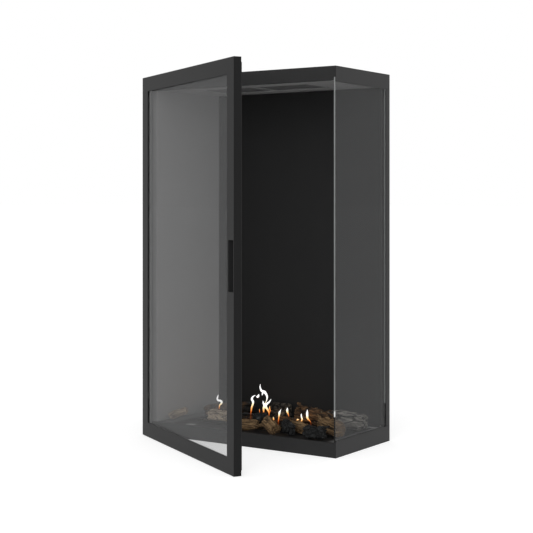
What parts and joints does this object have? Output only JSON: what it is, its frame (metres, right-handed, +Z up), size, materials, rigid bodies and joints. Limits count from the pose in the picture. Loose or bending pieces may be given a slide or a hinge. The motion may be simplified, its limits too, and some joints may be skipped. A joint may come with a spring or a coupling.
{
  "type": "corner gas fireplace",
  "caption": "Tall built-in gas fireplace for a room corner, glazed at the front and the right side, with a hinged glass door, ceramic logs and a twin flue collar.",
  "frame": {"origin": "centre of the body's base, on the surface that it stands on", "axes": "+Z up, +X towards the glazed right side, +Y towards the wall behind"},
  "size_m": [0.6178, 0.611, 1],
  "materials": {
    "black_paint": "matte heat-resistant powder coat, fine grain",
    "firebox_paint": "matte high-temperature paint, black",
    "liner_paint": "matte high-temperature paint, grey",
    "plated_steel": "zinc plated, dull",
    "brass": "machined",
    "copper": "drawn copper, slightly tarnished",
    "porcelain": "glazed",
    "magnet": "nickel plated",
    "pane": "clear ceramic glass, slightly grey",
    "fibre_seal": "woven glass-fibre tape, black",
    "insulation": "pressed mineral board",
    "log_bark": "cast ceramic, dark red-brown bark",
    "log_split": "cast ceramic, brown split wood",
    "log_charred": "cast ceramic, charcoal with cracks",
    "embers": "crumbled ceramic and vermiculite, dark"
  },
  "bodies": {
    "cabinet": {"base_plate": "black_paint", "bottom_front_rail": "black_paint", "bottom_right_rail": "black_paint", "front_left_post": "black_paint", "rear_right_post": "black_paint", "outer_left_panel": "black_paint", "outer_back_panel": "black_paint", "top_front_rail": "black_paint", "top_right_rail": "black_paint", "top_plate": "black_paint", "floor_plate": "liner_paint", "left_liner": "liner_paint", "back_liner": "firebox_paint", "ceiling_plate": "liner_paint", "baffle_left": "firebox_paint", "baffle_right": "firebox_paint", "glass_sill": "firebox_paint", "left_insulation": "insulation", "back_insulation": "insulation", "air_duct": "plated_steel", "flue_box": "plated_steel", "exhaust_collar": "plated_steel", "intake_collar": "plated_steel", "side_glass": "pane", "side_glass_seal": "fibre_seal", "burner_tray": "firebox_paint", "burner_tube": "plated_steel", "gas_injector": "brass", "gas_supply_pipe": "copper", "pilot_bracket": "plated_steel", "pilot_hood": "plated_steel", "spark_electrode": "porcelain", "thermocouple": "copper", "ember_bed": "embers", "log_right_rear": "log_bark", "log_leaning": "log_bark", "log_back_centre": "log_charred", "log_back_left": "log_bark", "log_left_stick": "log_split", "log_left_block": "log_split", "log_front_left": "log_split", "char_front_left": "log_charred", "log_front_centre": "log_split", "char_front_centre": "log_charred", "log_front_right": "log_split", "char_front_right": "log_charred", "log_right": "log_split", "lower_hinge_fixed_leaf": "plated_steel", "lower_hinge_pin": "plated_steel", "upper_hinge_fixed_leaf": "plated_steel", "upper_hinge_pin": "plated_steel"},
    "door": {"door_frame": "black_paint", "door_glass": "pane", "glass_retainer": "liner_paint", "pull_cup": "black_paint", "door_edge_seal": "fibre_seal", "door_magnet_lower": "magnet", "door_magnet_upper": "magnet", "lower_hinge_door_leaf": "plated_steel", "upper_hinge_door_leaf": "plated_steel"}
  },
  "joints": [
    {"name": "door_hinge", "type": "hinge", "parent": "cabinet", "child": "door", "pos_m": [-0.3015, -0.1495, 0.5], "axis": [0, 0, -1], "range_deg": [-30, 75]}
  ]
}
